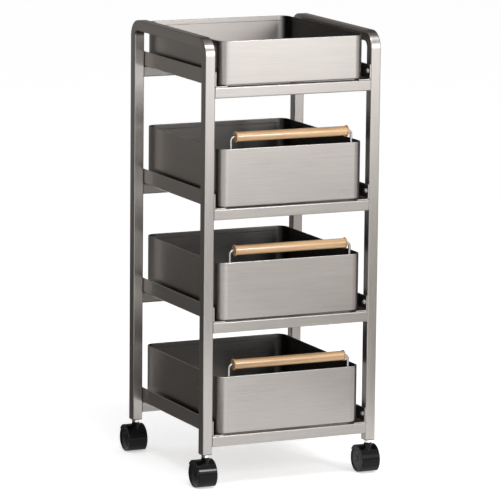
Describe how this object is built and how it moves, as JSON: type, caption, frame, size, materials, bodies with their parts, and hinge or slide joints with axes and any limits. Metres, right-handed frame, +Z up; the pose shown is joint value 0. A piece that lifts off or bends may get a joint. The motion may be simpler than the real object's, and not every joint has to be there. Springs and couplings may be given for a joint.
{
  "type": "rolling storage rack",
  "caption": "Rolling steel storage rack with an open top tray, pull-out boxes with wooden grips, tube side frames and black twin-wheel casters.",
  "frame": {"origin": "on the floor, under the middle of the whole rack with its casters trailing to the rear", "axes": "+Z up, front of the boxes towards -Y, +X to the right of someone facing the front"},
  "size_m": [0.3732, 0.3802, 0.838],
  "materials": {
    "tube_steel": "brushed along the tube, warm grey",
    "sheet_steel": "brushed along the sheet, warm grey, bright folded rim",
    "angle_steel": "brushed along the angle",
    "bright_steel": "bright plated",
    "zinc_steel": "zinc plated, dull",
    "wood": "pale turned beech, satin lacquer",
    "black_plastic": "glossy black moulding",
    "wheel_plastic": "black nylon, satin tread"
  },
  "bodies": {
    "frame": {"left_side_frame": "tube_steel", "right_side_frame": "tube_steel", "front_rail_top": "tube_steel", "front_rail_upper": "tube_steel", "front_rail_middle": "tube_steel", "front_rail_lower": "tube_steel", "rear_rail_top": "tube_steel", "rear_rail_upper": "tube_steel", "rear_rail_middle": "tube_steel", "rear_rail_lower": "tube_steel", "left_runner_top": "angle_steel", "left_runner_upper": "angle_steel", "left_runner_middle": "angle_steel", "left_runner_lower": "angle_steel", "right_runner_top": "angle_steel", "right_runner_upper": "angle_steel", "right_runner_middle": "angle_steel", "right_runner_lower": "angle_steel", "runner_screws": "zinc_steel", "rivet_nuts": "zinc_steel", "leg_plugs": "black_plastic", "lock_nuts": "bright_steel", "caster_stem_front_left": "bright_steel", "caster_stem_front_right": "bright_steel", "caster_stem_rear_left": "bright_steel", "caster_stem_rear_right": "bright_steel"},
    "tray": {"top_tray": "sheet_steel"},
    "upper_box": {"box_upper": "sheet_steel", "handle_wire_upper": "bright_steel"},
    "upper_grip": {"handle_grip_upper": "wood"},
    "middle_box": {"box_middle": "sheet_steel", "handle_wire_middle": "bright_steel"},
    "middle_grip": {"handle_grip_middle": "wood"},
    "lower_box": {"box_lower": "sheet_steel", "handle_wire_lower": "bright_steel"},
    "lower_grip": {"handle_grip_lower": "wood"},
    "front_left_caster": {"caster_body_front_left": "black_plastic", "caster_axle_front_left": "zinc_steel"},
    "front_left_left_wheel": {"left_wheel_front_left": "wheel_plastic"},
    "front_left_right_wheel": {"right_wheel_front_left": "wheel_plastic"},
    "front_right_caster": {"caster_body_front_right": "black_plastic", "caster_axle_front_right": "zinc_steel"},
    "front_right_left_wheel": {"left_wheel_front_right": "wheel_plastic"},
    "front_right_right_wheel": {"right_wheel_front_right": "wheel_plastic"},
    "rear_left_caster": {"caster_body_rear_left": "black_plastic", "caster_axle_rear_left": "zinc_steel"},
    "rear_left_left_wheel": {"left_wheel_rear_left": "wheel_plastic"},
    "rear_left_right_wheel": {"right_wheel_rear_left": "wheel_plastic"},
    "rear_right_caster": {"caster_body_rear_right": "black_plastic", "caster_axle_rear_right": "zinc_steel"},
    "rear_right_left_wheel": {"left_wheel_rear_right": "wheel_plastic"},
    "rear_right_right_wheel": {"right_wheel_rear_right": "wheel_plastic"}
  },
  "joints": [
    {"name": "tray_lift", "type": "slide", "parent": "frame", "child": "tray", "axis": [0, 0, 1], "range_m": [0, 0.12]},
    {"name": "upper_box_slide", "type": "slide", "parent": "frame", "child": "upper_box", "axis": [0, -1, 0], "range_m": [0, 0.25]},
    {"name": "upper_grip_spin", "type": "hinge", "parent": "upper_box", "child": "upper_grip", "pos_m": [0, -0.1753, 0.6545], "axis": [1, 0, 0], "continuous": true},
    {"name": "middle_box_slide", "type": "slide", "parent": "frame", "child": "middle_box", "axis": [0, -1, 0], "range_m": [0, 0.25]},
    {"name": "middle_grip_spin", "type": "hinge", "parent": "middle_box", "child": "middle_grip", "pos_m": [0, -0.1753, 0.4435], "axis": [1, 0, 0], "continuous": true},
    {"name": "lower_box_slide", "type": "slide", "parent": "frame", "child": "lower_box", "axis": [0, -1, 0], "range_m": [0, 0.25]},
    {"name": "lower_grip_spin", "type": "hinge", "parent": "lower_box", "child": "lower_grip", "pos_m": [0, -0.1753, 0.2295], "axis": [1, 0, 0], "continuous": true},
    {"name": "front_left_swivel", "type": "hinge", "parent": "frame", "child": "front_left_caster", "pos_m": [-0.168, -0.1739, 0.05], "axis": [0, 0, 1], "continuous": true},
    {"name": "front_left_left_wheel_roll", "type": "hinge", "parent": "front_left_caster", "child": "front_left_left_wheel", "pos_m": [-0.168, -0.1629, 0.025], "axis": [1, 0, 0], "continuous": true},
    {"name": "front_left_right_wheel_roll", "type": "hinge", "parent": "front_left_caster", "child": "front_left_right_wheel", "pos_m": [-0.168, -0.1629, 0.025], "axis": [1, 0, 0], "continuous": true},
    {"name": "front_right_swivel", "type": "hinge", "parent": "frame", "child": "front_right_caster", "pos_m": [0.168, -0.1739, 0.05], "axis": [0, 0, 1], "continuous": true},
    {"name": "front_right_left_wheel_roll", "type": "hinge", "parent": "front_right_caster", "child": "front_right_left_wheel", "pos_m": [0.168, -0.1629, 0.025], "axis": [1, 0, 0], "continuous": true},
    {"name": "front_right_right_wheel_roll", "type": "hinge", "parent": "front_right_caster", "child": "front_right_right_wheel", "pos_m": [0.168, -0.1629, 0.025], "axis": [1, 0, 0], "continuous": true},
    {"name": "rear_left_swivel", "type": "hinge", "parent": "frame", "child": "rear_left_caster", "pos_m": [-0.168, 0.1541, 0.05], "axis": [0, 0, 1], "continuous": true},
    {"name": "rear_left_left_wheel_roll", "type": "hinge", "parent": "rear_left_caster", "child": "rear_left_left_wheel", "pos_m": [-0.168, 0.1651, 0.025], "axis": [1, 0, 0], "continuous": true},
    {"name": "rear_left_right_wheel_roll", "type": "hinge", "parent": "rear_left_caster", "child": "rear_left_right_wheel", "pos_m": [-0.168, 0.1651, 0.025], "axis": [1, 0, 0], "continuous": true},
    {"name": "rear_right_swivel", "type": "hinge", "parent": "frame", "child": "rear_right_caster", "pos_m": [0.168, 0.1541, 0.05], "axis": [0, 0, 1], "continuous": true},
    {"name": "rear_right_left_wheel_roll", "type": "hinge", "parent": "rear_right_caster", "child": "rear_right_left_wheel", "pos_m": [0.168, 0.1651, 0.025], "axis": [1, 0, 0], "continuous": true},
    {"name": "rear_right_right_wheel_roll", "type": "hinge", "parent": "rear_right_caster", "child": "rear_right_right_wheel", "pos_m": [0.168, 0.1651, 0.025], "axis": [1, 0, 0], "continuous": true}
  ]
}
